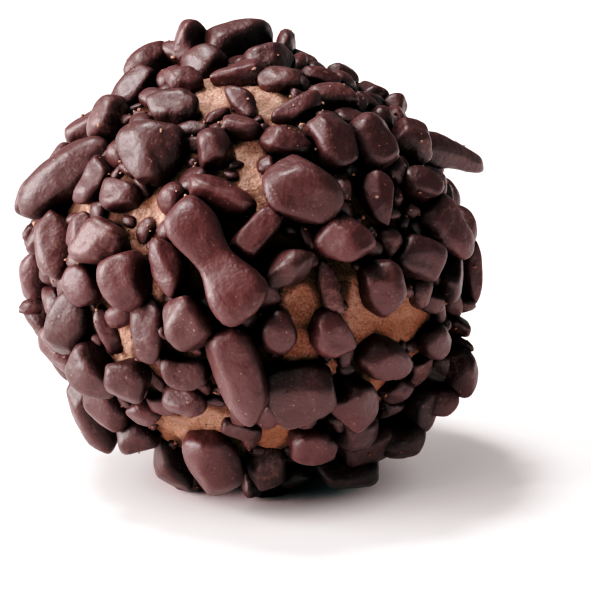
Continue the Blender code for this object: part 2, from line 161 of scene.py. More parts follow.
# The chocolate's patterns, with the shares of the ones that lighten it, and its relief and gloss
MOTTLE = Pattern(1.6 * MM, detail=3.0, roughness=0.60)
FINE_MOTTLE = Pattern(0.22 * MM, detail=3.0, roughness=0.65)
SCUFFS = Pattern(0.7 * MM, detail=4.0, roughness=0.70, low=0.56, high=0.74)
SPECKS = Pattern(0.20 * MM, detail=2.0, roughness=0.60, low=0.64, high=0.71)
SPECK_CLUSTERS = Pattern(1.3 * MM, detail=2.0, roughness=0.60, low=0.46, high=0.64)
POWDER = Pattern(0.45 * MM, detail=5.0, roughness=0.85, low=0.46, high=0.78)
SWELLS = Pattern(1.0 * MM, detail=2.5, roughness=0.55)
OWN_TONE_SHARE = 0.7
MOTTLE_SHARE = 0.5
FINE_SHARE = 0.12
TONE_RANGE = (0.2, 1.0)
SCUFF_SHARE = 0.12
SPECK_SHARE = 0.55
POWDER_SHARE = 0.42
DUSTY_NUGGETS = (0.70, 1.0)  # from which of their dust values nuggets are powdered, and fully so
SWELL_DEPTH = 0.15 * MM
FINE_DEPTH = 0.038 * MM
CHOCOLATE_ROUGHNESS = (0.42, 0.52)
DUST_ROUGHNESS = 0.4
COAT_SHARE = 0.16
COAT_ROUGHNESS = 0.28
SHEEN_SHARE = 0.03
SHEEN_ROUGHNESS = 0.45
SHEEN_TINT = (1.0, 0.82, 0.86, 1.0)

# The praline's patterns and their shares. It is painted paler high up along the way towards the light,
# as painted light, and darker and warmer low along it, as painted shade.
LIGHT_WAY = (-0.50, -0.15, 0.85)
PAINTED_LIGHT_RANGE_MM = (6.0, 26.0)
WARM_PATCHES = Pattern(4.5 * MM, detail=3.0, roughness=0.60, low=0.38, high=0.66)
PALE_LUMPS = Pattern(0.9 * MM, detail=3.0, roughness=0.60, low=0.45, high=0.70)
PALE_GRAINS = Pattern(0.20 * MM, detail=3.0, roughness=0.75, low=0.54, high=0.66)
DARK_GRAINS = (0.46, 0.34)
# The warm patches' shares. Low along the way towards the light all the praline is warmer, as painted shade
WARM_SHARES = (0.35, 1.35)
# Pale lumps show only towards the light: painted light
PALE_LUMP_SHARE = 0.6
# The pale grains' shares from the shaded side to the lit side: the extra ones towards the light are painted
# light
PALE_GRAIN_SHARES = (0.2, 0.7)
DARK_GRAIN_SHARE = 0.7
# Where the praline is hardly bare it is darkened towards the deep colour: painted shade between the nuggets
# in front, stains elsewhere
BARE_RANGE = (0.2, 1.0)
DEEP_SHARE = 0.75  # of the deep colour, where the praline is hardly bare
LUMP_DEPTH = 0.35 * MM
GRAIN_DEPTH = 0.14 * MM
GRAIN_ROUGHNESS_RANGE = (0.3, 0.7)
PRALINE_ROUGHNESS = (0.75, 0.95)
SOFTNESS = 0.12
SOFT_REACH = (1.0, 0.5, 0.3)
SOFT_DEPTH = 0.6 * MM

# The floor is faintly uneven. Away from the foot it glows a little, painted light that lightens the
# truffle's shadow, and round the foot it is warmer, painted shade warmed by the truffle's own colour: the
# ranges are distances from the middle of the foot.
FLOOR_GAP = 0.02 * MM
FLOOR_PATCHES = Pattern(30.0 * MM, detail=2.0, roughness=0.50)
FLOOR_PATCH_SHADE = 0.985
FLOOR_ROUGHNESS = 0.8
FLOOR_GLOW = 0.24
GLOW_RANGE_MM = (7.0, 12.5)
WARM_SHADE_RANGE_MM = (4.0, 8.0)

# The lamps: elevation, bearing and spread in degrees
LAMP_ANGLES = {
    "key": (73.0, 171.0, 14.0),
    "side": (12.0, 190.0, 50.0),
    "front": (50.0, 225.0, 60.0),
}
ROOM_COLOUR = (1.0, 0.99, 0.98, 1.0)
NEAREST_SEEN = 1.0 * MM

# How the picture shows each brightness: it darkens the shade and lifts the light
RED_TONES = (
    (0.03, 0.002), (0.05, 0.010), (0.09, 0.047), (0.12, 0.100),
    (0.16, 0.162), (0.32, 0.378), (0.65, 0.78),
)
COOL_TONES = (
    (0.015, 0.001), (0.03, 0.007), (0.05, 0.019), (0.07, 0.037),
    (0.11, 0.085), (0.16, 0.157), (0.32, 0.378), (0.65, 0.78),
)


class Form(NamedTuple):
    """What shapes a nugget: leaning sides, cut corners, and how it narrows, pinches or bends."""

    corner_cuts: int
    lean: float
    sharpness: float
    height: float
    taper: float = 0.10
    waist: float = 0.0
    bend: float = 0.0
    sides: str = "box"


FORMS = {
    "pebble": Form(corner_cuts=1, lean=0.26, sharpness=7.0, height=0.90, sides="stone"),
    "block": Form(corner_cuts=3, lean=0.26, sharpness=9.0, height=0.92),
    "slab": Form(corner_cuts=3, lean=0.26, sharpness=8.0, height=0.72),
    "drop": Form(corner_cuts=1, lean=0.24, sharpness=7.0, height=0.85, taper=0.50, sides="stone"),
    "roof": Form(corner_cuts=1, lean=0.12, sharpness=11.0, height=0.95, taper=0.20, sides="roof"),
    "wedge": Form(corner_cuts=0, lean=0.08, sharpness=20.0, height=0.95, taper=0.55, sides="roof"),
    "bow": Form(corner_cuts=2, lean=0.20, sharpness=7.0, height=0.85, bend=0.45),
    "bone": Form(corner_cuts=2, lean=0.12, sharpness=3.2, height=0.85, taper=0.22, waist=0.34),
}

# The ways that the sides of a box, and of one with a ridge along its top, face. The x way is the length.
BOX_SIDES = ((1.0, 0, 0), (-1.0, 0, 0), (0, 1.0, 0), (0, -1.0, 0), (0, 0, 1.0), (0, 0, -1.0))
ROOF_SIDES = ((1.0, 0, 0), (-1.0, 0, 0), (0, 1.0, 0.9), (0, -1.0, 0.9), (0, 0.3, -1.0))
STONE_SIDES = 9  # flats of a stone, spread evenly and turned at random
SIDE_DISTANCES = (0.82, 1.0)
CUT_DISTANCES = (0.90, 1.12)


class Nugget(NamedTuple):
    """A nugget that the front shows, by the place of its middle in the front view.

    Its length turns clockwise from level, in degrees, narrow end first.
    """

    seen_x: float
    seen_y: float
    length_mm: float
    width_mm: float
    turn: float
    form: str
    lift_mm: float


TOP_NUGGETS = (
    (188, 34, 3.1, 2.4, -45, "pebble", 0.4),
    (148, 57, 4.3, 2.2, -42, "slab", 0.0),
    (176, 51, 3.0, 1.6, 15, "block", 0.6),
    (133, 90, 4.1, 2.4, -55, "block", 0.4),
    (181, 79, 2.7, 2.0, 20, "pebble", 0.6),
    (172, 106, 3.7, 2.4, 0, "slab", 0.7),
    (236, 38, 5.7, 2.6, -15, "block", 0.2),
    (231, 54, 3.0, 1.6, -5, "pebble", 0.2),
    (238, 72, 4.0, 2.3, 170, "drop", 0.4),
    (243, 102, 3.0, 1.6, 50, "pebble", 0.3),
    (242, 126, 3.0, 1.7, 8, "pebble", 0.4),
    (190, 129, 2.6, 1.3, 0, "slab", 0.1),
    (214, 146, 2.9, 2.7, 90, "block", 0.5),
    (277, 58, 3.1, 1.6, 10, "block", 0.1),
    (303, 58, 3.3, 1.4, 25, "slab", 0.1),
    (279, 79, 3.0, 1.9, 5, "pebble", 0.3),
    (320, 77, 3.1, 1.4, 15, "pebble", 0.3),
    (333, 96, 3.6, 1.9, 5, "block", 0.3),
    (342, 76, 2.6, 2.1, 0, "pebble", 0.0),
    (297, 107, 3.7, 1.7, -25, "slab", 0.4),
    (287, 141, 3.6, 2.0, 12, "block", 0.3),
    (303, 189, 5.6, 4.7, 10, "pebble", 0.6),
    (333, 140, 4.1, 2.7, 60, "block", 0.8),
    (372, 141, 4.0, 3.1, 60, "block", 0.8),
    (415, 140, 3.5, 2.9, 45, "pebble", 0.8),
    (396, 106, 2.1, 1.9, 90, "pebble", 0.4),
    (368, 103, 2.4, 1.1, 35, "pebble", 0.3),
    (457, 146, 4.2, 2.3, 17, "slab", 0.6),
    (422, 184, 2.9, 2.3, 30, "block", 0.8),
    (444, 192, 3.1, 1.3, 75, "slab", 0.1),
)
LEFT_NUGGETS = (
    (88, 125, 4.0, 1.9, -33, "block", 0.2),
    (149, 150, 4.2, 5.9, 94, "wedge", 0.8),
    (62, 173, 7.5, 3.0, -40, "block", 0.9),
    (22, 195, 3.1, 1.1, -65, "slab", 0.2),
    (91, 181, 3.7, 1.9, -60, "bow", 0.5),
    (118, 196, 3.0, 2.4, 20, "pebble", 0.4),
    (98, 242, 3.9, 3.4, -15, "pebble", 0.6),
    (80, 233, 3.0, 2.0, -60, "pebble", 0.2),
    (52, 245, 5.1, 2.6, 80, "block", 0.6),
    (33, 275, 4.0, 2.4, 100, "block", 0.5),
    (40, 322, 3.6, 2.1, 60, "block", 0.4),
    (83, 285, 3.0, 2.7, 60, "block", 0.4),
    (124, 283, 4.0, 3.3, 70, "block", 0.8),
    (167, 266, 4.3, 2.7, 70, "pebble", 0.5),
    (68, 324, 4.6, 3.1, -70, "pebble", 0.5),
    (106, 331, 3.6, 1.4, 62, "slab", 0.3),
    (148, 330, 4.6, 2.7, 85, "pebble", 0.3),
)
MIDDLE_NUGGETS = (
    (220, 194, 4.9, 2.3, 20, "roof", 0.7),
    (214, 259, 9.3, 4.7, 238, "bone", 1.3),
    (210, 305, 2.1, 1.3, 20, "pebble", 0.2),
    (256, 233, 4.3, 2.1, -50, "block", 0.5),
    (289, 267, 3.9, 2.7, -35, "pebble", 0.6),
    (346, 240, 3.7, 3.4, 30, "pebble", 0.6),
    (330, 288, 3.9, 1.9, -105, "drop", 0.3),
    (278, 332, 3.1, 2.7, 90, "block", 0.3),
    (188, 325, 3.9, 3.3, 60, "block", 0.9),
    (379, 198, 3.9, 2.7, 80, "drop", 0.5),
)
RIGHT_NUGGETS = (
    (446, 228, 4.7, 3.1, 50, "slab", 0.8),
    (420, 258, 3.9, 3.1, 15, "slab", 0.5),
    (457, 266, 2.4, 1.4, -60, "pebble", 0.4),
    (468, 268, 3.9, 1.3, 85, "slab", 0.2),
    (475, 272, 5.0, 1.4, 88, "slab", 0.1),
    (384, 286, 4.0, 3.0, 75, "pebble", 0.5),
    (431, 302, 2.0, 1.7, 20, "pebble", 0.2),
    (451, 301, 2.7, 1.7, 80, "pebble", 0.3),
    (467, 330, 2.6, 2.0, 20, "drop", 0.4),
    (433, 340, 2.9, 2.7, 20, "pebble", 0.4),
    (332, 337, 3.6, 3.1, 40, "pebble", 0.4),
    (384, 360, 3.9, 3.1, 30, "pebble", 0.5),
    (397, 390, 2.7, 2.0, -10, "pebble", 0.3),
    (446, 366, 3.4, 2.6, -50, "pebble", 0.4),
    (468, 376, 3.6, 2.0, 100, "block", 0.2),
    (445, 404, 3.0, 1.9, -50, "pebble", 0.3),
    (424, 415, 3.9, 2.0, -65, "block", 0.3),
)
LOW_NUGGETS = (
    (92, 374, 4.4, 3.0, 50, "pebble", 0.7),
    (127, 379, 3.3, 2.9, 30, "pebble", 0.5),
    (152, 376, 3.4, 0.9, 50, "slab", 0.1),
    (185, 373, 3.5, 2.0, 8, "bow", 0.6),
    (183, 401, 3.2, 2.1, 10, "pebble", 0.5),
    (90, 420, 5.7, 2.4, 62, "block", 0.3),
    (104, 414, 2.6, 1.4, 60, "pebble", 0.4),
    (144, 413, 2.4, 2.0, 20, "block", 0.4),
    (135, 438, 3.3, 2.9, 30, "pebble", 0.6),
    (174, 469, 4.8, 2.6, 52, "pebble", 0.3),
    (240, 378, 6.9, 3.6, 68, "block", 1.0),
    (298, 395, 5.1, 4.4, -10, "block", 0.6),
    (354, 403, 4.3, 3.6, 60, "pebble", 0.6),
    (242, 431, 3.0, 1.3, 18, "slab", 0.3),
    (214, 466, 5.5, 4.0, 70, "block", 0.8),
    (267, 470, 4.0, 2.9, 80, "block", 0.5),
    (313, 444, 3.3, 2.7, -5, "block", 0.6),
    (294, 477, 2.7, 1.9, -20, "pebble", 0.3),
    (372, 444, 6.0, 2.9, -25, "block", 0.5),
    (410, 447, 3.9, 2.0, -40, "pebble", 0.2),
    (352, 477, 4.9, 2.3, -5, "pebble", 0.2),
)
# Bits that the front shows, in rows of the same kind
FRONT_BITS = (
    (126, 120, 1.5, 1.0, 0, "pebble", 0.3),
    (140, 114, 1.0, 0.8, 0, "pebble", 0.2),
    (287, 39, 2.1, 1.7, -75, "block", 0.3),
    (217, 116, 2.0, 1.0, -28, "pebble", 0.0),
    (104, 131, 1.4, 0.7, -20, "pebble", 0.3),
    (127, 170, 1.6, 0.7, 35, "pebble", 0.3),
    (141, 185, 1.6, 1.4, 60, "drop", 0.4),
    (145, 230, 1.9, 1.3, -60, "pebble", 0.0),
    (28, 235, 1.9, 1.4, 90, "pebble", 0.0),
    (24, 310, 1.6, 1.0, 50, "pebble", 0.2),
    (162, 333, 1.7, 1.0, 45, "pebble", 1.2),
    (291, 230, 1.1, 1.0, 0, "pebble", 0.2),
    (393, 214, 1.3, 1.0, 0, "pebble", 0.4),
    (412, 211, 1.4, 1.3, 0, "pebble", 0.3),
    (468, 306, 1.6, 1.3, 0, "pebble", 0.2),
    (470, 347, 1.1, 1.1, 0, "pebble", 0.2),
    (60, 362, 2.0, 1.0, 80, "pebble", 0.0),
    (190, 412, 1.4, 1.0, 0, "pebble", 0.4),
    (216, 402, 2.0, 0.9, 0, "pebble", 0.2),
    (252, 490, 1.7, 1.3, 0, "pebble", 0.2),
)

# Where the front shows bare praline: seen x, seen y and radius in mm
BARE_PATCHES = (
    (212, 75, 0.9), (213, 102, 1.1), (262, 100, 1.3), (278, 118, 0.8), (250, 155, 1.0), (252, 180, 1.0),
    (262, 205, 0.7), (108, 145, 0.6), (90, 205, 0.5), (150, 215, 1.1), (138, 240, 1.0), (157, 292, 0.6),
    (126, 335, 0.7), (126, 355, 0.5), (300, 305, 1.2), (320, 315, 0.9), (300, 345, 1.1), (355, 290, 0.7),
    (362, 325, 1.5), (395, 320, 1.6), (412, 310, 0.9), (415, 365, 1.1), (172, 425, 0.8), (200, 425, 1.5),
    (228, 420, 0.7), (274, 433, 1.0), (374, 383, 0.5), (331, 366, 0.5), (432, 158, 0.7),
)
# The kind that each form's nuggets are made in, one piece for each kind. Other forms are oddments.
KINDS = {"pebble": "pebbles", "block": "blocks", "slab": "slabs", "drop": "drops"}
OTHER_KIND = "oddments"


class Foot(NamedTuple):
    """A nugget that the truffle stands on, by its angle from straight down, its bearing, size and turn."""

    from_down: float
    bearing: float
    length_mm: float
    width_mm: float
    turn: float


FOOT_NUGGETS = (
    (0, 0, 4.4, 3.6, 20),
    (17, 10, 3.8, 3.0, 70),
    (18, 85, 4.0, 3.0, 10),
    (17, 150, 3.6, 3.2, 110),
    (18, 215, 4.2, 3.0, 60),
    (17, 290, 3.8, 3.2, 20),
)
FOOT_FORM = "block"
FOOT_LIFT = 0.90 * MM
FOOT_LEVELLING = 2.0  # how much more a foot's height follows the vertical than the ball's outward way


class Placed(NamedTuple):
    """A nugget in its place. The axes are the directions of its length, width and height."""

    middle: np.ndarray
    axes: np.ndarray
    half_sizes: np.ndarray
    form: Form


def unit(vector):
    return vector / np.linalg.norm(vector)


def unit_rows(vectors):
    return vectors / np.linalg.norm(vectors, axis=1)[:, None]


def stance(width_mm, form, lift):
    """The radius that a nugget's middle lies at, and half its height."""
    half_height = min(width_mm * MM * form.height, THICKEST_NUGGET) / 2
    return BALL_RADIUS + RIDING_HEIGHT * half_height + lift, half_height


def laid(middle, thin_axis, length_way, length_mm, width_mm, half_height, form):
    """A nugget with its height along the thin axis, and its length as near to the given way as that allows.

    One that would clear the ball is made longer inwards, along its most outward axis, until it reaches in.
    """
    along = unit(length_way - thin_axis * length_way.dot(thin_axis))
    axes = np.array([along, np.cross(thin_axis, along), thin_axis])
    half_sizes = np.array([length_mm * MM / 2, width_mm * MM / 2, half_height])
    outward = unit(middle - BALL_MIDDLE)
    slopes = np.abs(axes @ outward)
    lowest = np.linalg.norm(middle - BALL_MIDDLE) - half_sizes @ slopes * BODY_SHARE
    short = lowest - (BALL_RADIUS - LEAST_SINKING)
    if short > 0:
        longest = np.argmax(half_sizes * slopes)
        half_sizes[longest] += short / 2 / slopes[longest]
        middle = middle - outward * short / 2
    return Placed(middle, axes, half_sizes, form)


def seen_point(seen_x, seen_y, radius):
    """Where the ray to a place in the front view meets a ball of this radius, or else passes nearest it."""
    across = (seen_x - VIEW_MIDDLE) / PIXELS_PER_MM * MM
    up = (VIEW_MIDDLE - seen_y) / PIXELS_PER_MM * MM
    ray = unit(LOOKED_AT + SEEN_RIGHT * across + SEEN_UP * up - EYE)
    nearest = EYE + ray * (BALL_MIDDLE - EYE).dot(ray)
    miss = np.linalg.norm(nearest - BALL_MIDDLE)
    return nearest - ray * math.sqrt(max(radius**2 - miss**2, 0.0))


def seen_share(way):
    """How much of a length along this way the front view shows, but no less than it is made up for."""
    return max(math.sqrt(1 - way.dot(TO_EYE) ** 2), LEAST_SHORTENING)


def place_seen(nugget):
    """Stand a nugget of the table on the ball, so that the front shows it as the table says."""
    form = FORMS[nugget.form]
    radius, half_height = stance(nugget.width_mm, form, nugget.lift_mm * MM)
    middle = seen_point(nugget.seen_x, nugget.seen_y, radius)
    thin_axis = unit(unit(middle - BALL_MIDDLE) * LYING_SHARE + TO_EYE * (1 - LYING_SHARE))
    turn = math.radians(nugget.turn)
    seen_way = SEEN_RIGHT * math.cos(turn) - SEEN_UP * math.sin(turn)
    # the way in the nugget's own plane that the front shows along the turn
    length_way = unit(seen_way - TO_EYE * seen_way.dot(thin_axis) / TO_EYE.dot(thin_axis))
    length_mm = nugget.length_mm / seen_share(length_way)
    width_mm = nugget.width_mm / seen_share(np.cross(thin_axis, length_way))
    return laid(middle, thin_axis, length_way, length_mm, width_mm, half_height, form)


def place_foot(foot):
    """Stand a nugget under the ball, nearly flat to the ground."""
    from_down, bearing, turn = (math.radians(angle) for angle in (foot.from_down, foot.bearing, foot.turn))
    level = np.array([math.cos(bearing), math.sin(bearing), 0.0])
    down = np.array([0.0, 0.0, -1.0])
    outward = level * math.sin(from_down) + down * math.cos(from_down)
    length_way = np.array([math.cos(turn), math.sin(turn), 0.0])
    form = FORMS[FOOT_FORM]
    radius, half_height = stance(foot.width_mm, form, FOOT_LIFT)
    thin_axis = unit(outward + down * FOOT_LEVELLING)
    middle = BALL_MIDDLE + outward * radius
    return laid(middle, thin_axis, length_way, foot.length_mm, foot.width_mm, half_height, form)


def strewn_nugget(outward, length_mm, width_mm, most_lift, random):
    """A nugget of a random form, size, tilt and turn, standing on the ball in this direction."""
    form = FORMS[STREWN_FORMS[random.integers(len(STREWN_FORMS))]]
    length_mm, width_mm = np.array([length_mm, width_mm]) * random.uniform(*STREWN_GROWTH, size=2)
    lift = random.uniform(0.0, most_lift) if most_lift else 0.0
    radius, half_height = stance(width_mm, form, lift)
    thin_axis = unit(outward + random.normal(size=3) * STREWN_TILT)
    middle = BALL_MIDDLE + outward * radius
    return laid(middle, thin_axis, random.normal(size=3), length_mm, width_mm, half_height, form)


def strew(placed, sizes_mm, tries, closeness, may_stand, most_lift, random):
    """New nuggets where there is room between the placed ones, largest first.

    May_stand says of a direction from the ball's middle, and of half a size, if a nugget may stand there.
    """
    ways = [unit(nugget.middle - BALL_MIDDLE) for nugget in placed]
    halves = [nugget.half_sizes[:2].mean() for nugget in placed]
    strewn = []
    for length_mm, width_mm in sizes_mm:
        half = (length_mm + width_mm) * MM / 4
        for outward in random.normal(size=(tries, 3)):
            outward = unit(outward)
            apart = np.linalg.norm(np.array(ways) - outward, axis=1) * BALL_RADIUS
            if np.any(apart < (np.array(halves) + half) * closeness) or not may_stand(outward, half):
                continue
            strewn.append(strewn_nugget(outward, length_mm, width_mm, most_lift, random))
            ways.append(outward)
            halves.append(half)
    return strewn


def seen_places(points):
    """Where the front view shows points, in its pixels."""
    offset = points - EYE
    scale = EYE_DISTANCE / -(offset @ TO_EYE) * PIXELS_PER_MM / MM
    across_and_down = np.stack([offset @ SEEN_RIGHT, -(offset @ SEEN_UP)], axis=-1)
    return VIEW_MIDDLE + across_and_down * scale[..., None]


def out_of_sight(outward, half):
    """Whether the front shows this place on the ball not at all or only aslant."""
    return outward.dot(unit(EYE - BALL_MIDDLE - outward * BALL_RADIUS)) <= SEEN_FACING


def off_bare_patches(outward, half):
    """Whether a bit of this half size leaves free the praline that the front shows bare."""
    at = BALL_MIDDLE + outward * BALL_RADIUS
    patches = np.array(BARE_PATCHES)
    gaps = np.linalg.norm(patches[:, :2] - seen_places(at), axis=1) / PIXELS_PER_MM - patches[:, 2]
    return outward.dot(EYE - at) <= 0 or gaps.min() * MM >= half * PATCH_CLEARANCE


def even_directions(count):
    """Directions spread evenly: each turned by the golden angle from the last, at even steps of height."""
    step = np.arange(count)
    height = 1 - (2 * step + 1) / count
    angle = step * math.pi * (3 - math.sqrt(5))
    ring = np.sqrt(1 - height**2)
    return np.stack([ring * np.cos(angle), ring * np.sin(angle), height], axis=1)


def flats_of(form, random):
    """The flats that bound a nugget: their outward ways, and their distances from its middle."""
    turned = np.linalg.qr(random.normal(size=(3, 3)))[0]
    kinds = {"box": BOX_SIDES, "roof": ROOF_SIDES, "stone": even_directions(STONE_SIDES) @ turned}
    sides = np.array(kinds[form.sides])
    sides = sides + random.normal(size=sides.shape) * form.lean
    cuts = random.normal(size=(form.corner_cuts, 3))
    side_distances = random.uniform(*SIDE_DISTANCES, len(sides))
    cut_distances = random.uniform(*CUT_DISTANCES, len(cuts))
    return unit_rows(np.concatenate([sides, cuts])), np.concatenate([side_distances, cut_distances])


def surface_points(directions, form, flats):
    """A nugget's surface along these directions.

    Along a direction d it is this far from the middle, with s the sharpness, so that the flats meet in
    rounded edges: (roundness + sum over the flats of max(0, way . d / distance)^s)^(-1/s).
    """
    ways, distances = flats
    sharpness = form.sharpness * SHARPER
    reach = np.maximum(directions @ ways.T / distances, 0.0)
    total = (reach**sharpness).sum(axis=1) + ROUNDNESS
    return directions / total[:, None] ** (1 / sharpness)


def in_form(points, form):
    """Points of a nugget brought into a box of half size 1, then narrowed, pinched and bent lengthwise."""
    low, high = points.min(axis=0), points.max(axis=0)
    along, across, up = ((points - (low + high) / 2) / ((high - low) / 2)).T
    girth = 1 - form.taper * (along + 1) / 2 - form.waist * np.exp(-((along / WAIST_LENGTH) ** 2))
    return np.stack([along, across * girth + form.bend * (along**2 - BEND_MIDDLE), up * girth], axis=1)


def soft_noise(points, wavelength, seed, waves):
    """A smooth random height, mostly between -1 and 1.

    It is the sum of sine waves through space, each of its own direction, length and start.
    """
    random = np.random.default_rng(seed)
    ways = unit_rows(random.normal(size=(waves, 3)))
    turns = points @ (ways / (wavelength * random.uniform(*WAVE_SPREAD, waves))[:, None]).T
    return np.sin(2 * math.pi * (turns + random.uniform(size=waves))).sum(axis=1) / math.sqrt(waves)


def relief(points, layers):
    """The sum of several soft noises, each times its share."""
    return sum(share * soft_noise(points, *layer) for share, *layer in layers)


def cube_sphere(steps):
    """Directions all round on a grid, and the quads between them.

    Each side of a cube is a grid of two parameters, a and b from -1 to 1, taken as tan(a pi/4) and
    tan(b pi/4), so that the quads are nearly equal once each point is brought to length 1. The sides share
    their edge points.
    """
    lattice = np.stack(np.meshgrid(*[np.arange(steps + 1)] * 3, indexing="ij"), axis=-1)
    shell = ((lattice == 0) | (lattice == steps)).any(axis=-1)
    index = np.full((steps + 1,) * 3, -1)
    index[shell] = np.arange(shell.sum())
    places = np.tan((lattice[shell] / steps * 2 - 1) * math.pi / 4)
    quads = []
    for axis in range(3):
        for end in (0, steps):
            sheet = np.take(index, end, axis=axis)
            corners = (sheet[:-1, :-1], sheet[1:, :-1], sheet[1:, 1:], sheet[:-1, 1:])
            side = np.stack(corners, axis=-1).reshape(-1, 4)
            outward = (end == steps) != (axis == 1)
            quads.append(side if outward else side[:, ::-1])
    return unit_rows(places), np.concatenate(quads)


@functools.cache
def nuggets_by_kind():
    """All nuggets in their places, by kind, each with the number that its shape is drawn from."""
    table = TOP_NUGGETS + LEFT_NUGGETS + MIDDLE_NUGGETS + RIGHT_NUGGETS + LOW_NUGGETS
    placed = [place_seen(Nugget(*row)) for row in table]
    placed += [place_foot(Foot(*row)) for row in FOOT_NUGGETS]
    random = np.random.default_rng(STREW_SEED)
    placed += strew(
        placed, STREWN_SIZES_MM, TRIES_PER_SIZE, CLOSENESS, out_of_sight, MOST_STREWN_LIFT, random
    )
    bits = [place_seen(Nugget(*row)) for row in FRONT_BITS]
    random = np.random.default_rng(BIT_SEED)
    bits += strew(
        placed + bits, BIT_SIZES_MM, TRIES_PER_BIT_SIZE, BIT_CLOSENESS, off_bare_patches, 0.0, random
    )
    names = {form: name for name, form in FORMS.items()}
    kinds = {kind: [] for kind in (*KINDS.values(), OTHER_KIND, "bits")}
    for index, nugget in enumerate(placed):
        kinds[KINDS.get(names[nugget.form], OTHER_KIND)].append((index, nugget))
    for index, nugget in enumerate(bits, start=len(placed)):
        kinds["bits"].append((index, nugget))
    return kinds


def rooted(points, nugget):
    """Points of a nugget, with its inner half drawn out until it is stuck in the ball."""
    outward = unit(nugget.middle - BALL_MIDDLE)
    height = (points - nugget.middle) @ outward
    needed = np.linalg.norm(nugget.middle - BALL_MIDDLE) - (BALL_RADIUS - ROOT_DEPTH)
    growth = max(needed / -height.min(), 1.0) - 1
    return points + np.outer(np.minimum(height, 0.0) * growth, outward)


def nugget_points(index, nugget, directions, dents):
    """A nugget's surface along these directions, raised and dented by soft waves of two lengths."""
    flats = flats_of(nugget.form, np.random.default_rng((SHAPE_SEED, index)))
    local = in_form(surface_points(directions, nugget.form, flats), nugget.form)
    offset = (local * nugget.half_sizes) @ nugget.axes
    points = rooted(nugget.middle + offset, nugget)
    outward = unit_rows(offset)
    depth = dents * min(nugget.half_sizes[1] / FULL_DENTS, 1.0)
    points = points + outward * (relief(points, NUGGET_DENTS) * depth)[:, None]
    points[:, 2] = np.maximum(points[:, 2], 0.0)
    return points


def make_piece(name, points, quads, material, attributes=None):
    """A smooth mesh piece that rides on the truffle, with values of its own stored on its points."""
    mesh = bpy.data.meshes.new(name)
    mesh.from_pydata(points, [], quads)
    mesh.shade_smooth()
    mesh.materials.append(material)
    for key, values in (attributes or {}).items():
        mesh.attributes.new(key, "FLOAT", "POINT").data.foreach_set("value", values.astype(np.float32))
    piece = bpy.data.objects.new(name, mesh)
    bpy.context.scene.collection.objects.link(piece)
    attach(piece, "root")
    return piece


def make_nuggets(name, nuggets, steps, dents, material):
    """Nuggets of one kind as one piece. Steps is how many quads there are along a side of each."""
    directions, quads = cube_sphere(steps)
    random = np.random.default_rng((SHAPE_SEED, len(nuggets)))
    points = np.concatenate([nugget_points(index, nugget, directions, dents) for index, nugget in nuggets])
    faces = (np.arange(len(nuggets))[:, None, None] * len(directions) + quads).reshape(-1, 4)
    tone = np.repeat(random.uniform(size=len(nuggets)), len(directions))
    dust = np.repeat(random.uniform(size=len(nuggets)) ** 2, len(directions))
    piece = make_piece(name, points, faces, material, {"tone": tone, "dust": dust})
    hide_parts("truffle")
    return piece


def make_specks(name, places, sizes, random, material):
    """Crumbs at these places, each a ball of a few quads with its points drawn in or out at random."""
    directions, quads = cube_sphere(CRUMB_STEPS)
    reach = sizes[:, None, None] * random.uniform(*CRUMB_REACH, size=(len(places), len(directions), 1))
    stretch = random.uniform(*CRUMB_STRETCH, size=(len(places), 1, 3))
    points = (places[:, None, :] + directions * reach * stretch).reshape(-1, 3)
    points[:, 2] = np.maximum(points[:, 2], 0.0)
    faces = (np.arange(len(places))[:, None, None] * len(directions) + quads).reshape(-1, 4)
    tone = np.repeat(random.uniform(size=len(places)), len(directions))
    attributes = {"tone": tone, "dust": tone, "bare": np.ones(len(points))}
    return make_piece(name, points, faces, material, attributes)


def ball_height(directions, shape):
    """How far the praline stands over the ball.

    It is sandy and lumpy everywhere, and against a nugget it climbs by the climb times
    exp(-(gap / width)^2), with the gap from the nugget's edge.
    """
    climb = np.zeros(len(directions))
    for nuggets in nuggets_by_kind().values():
        for _, nugget in nuggets:
            outward = unit(nugget.middle - BALL_MIDDLE)
            gap = np.linalg.norm(directions - outward, axis=1) * BALL_RADIUS - nugget.half_sizes[:2].mean()
            climb = np.maximum(climb, np.exp(-((np.maximum(gap, 0.0) / CLIMB_WIDTH) ** 2)))
    points = directions * BALL_RADIUS
    lumps = relief(points, PRALINE_LUMPS)
    sand = relief(points, PRALINE_SAND)
    return shape.praline_climb * climb + shape.praline_lumps * lumps + shape.praline_grain * sand


def ball_clear_of_stain_and_shade(directions):
    """How bare the praline is, from 0 where it is darkened to 1.

    In front it is bare in the patches that the front shows, and darkened outside them as painted shade
    between the nuggets.
    Elsewhere it is bare where soft waves are high, and darkened by stains where they are low.
    """
    surface = directions * BALL_RADIUS
    points = BALL_MIDDLE + surface
    seen = seen_places(points)
    depths = [
        radius_mm - np.linalg.norm(seen - (seen_x, seen_y), axis=1) / PIXELS_PER_MM
        for seen_x, seen_y, radius_mm in BARE_PATCHES
    ]
    # In front all praline outside these patches is darkened: painted shade between the nuggets
    inside = np.max(depths, axis=0) + PATCH_MARGIN_MM + PATCH_RAGGEDNESS_MM * relief(surface, PATCH_EDGES)
    front = np.clip(inside / PATCH_BLUR_MM, 0.0, 1.0)
    elsewhere = np.clip(0.5 + BARE_CONTRAST * relief(surface, STAINS), 0.0, 1.0)
    to_eye = EYE - points
    facing = (directions * to_eye).sum(axis=1) / np.linalg.norm(to_eye, axis=1)
    facing = np.clip(facing * FACING_CONTRAST, 0.0, 1.0)
    return front * facing + elsewhere * (1 - facing)


# Where a mix of two colours takes them, and where it gives their mixture
COLOUR_SOCKETS = (6, 7)
BLENDED_SOCKET = 2


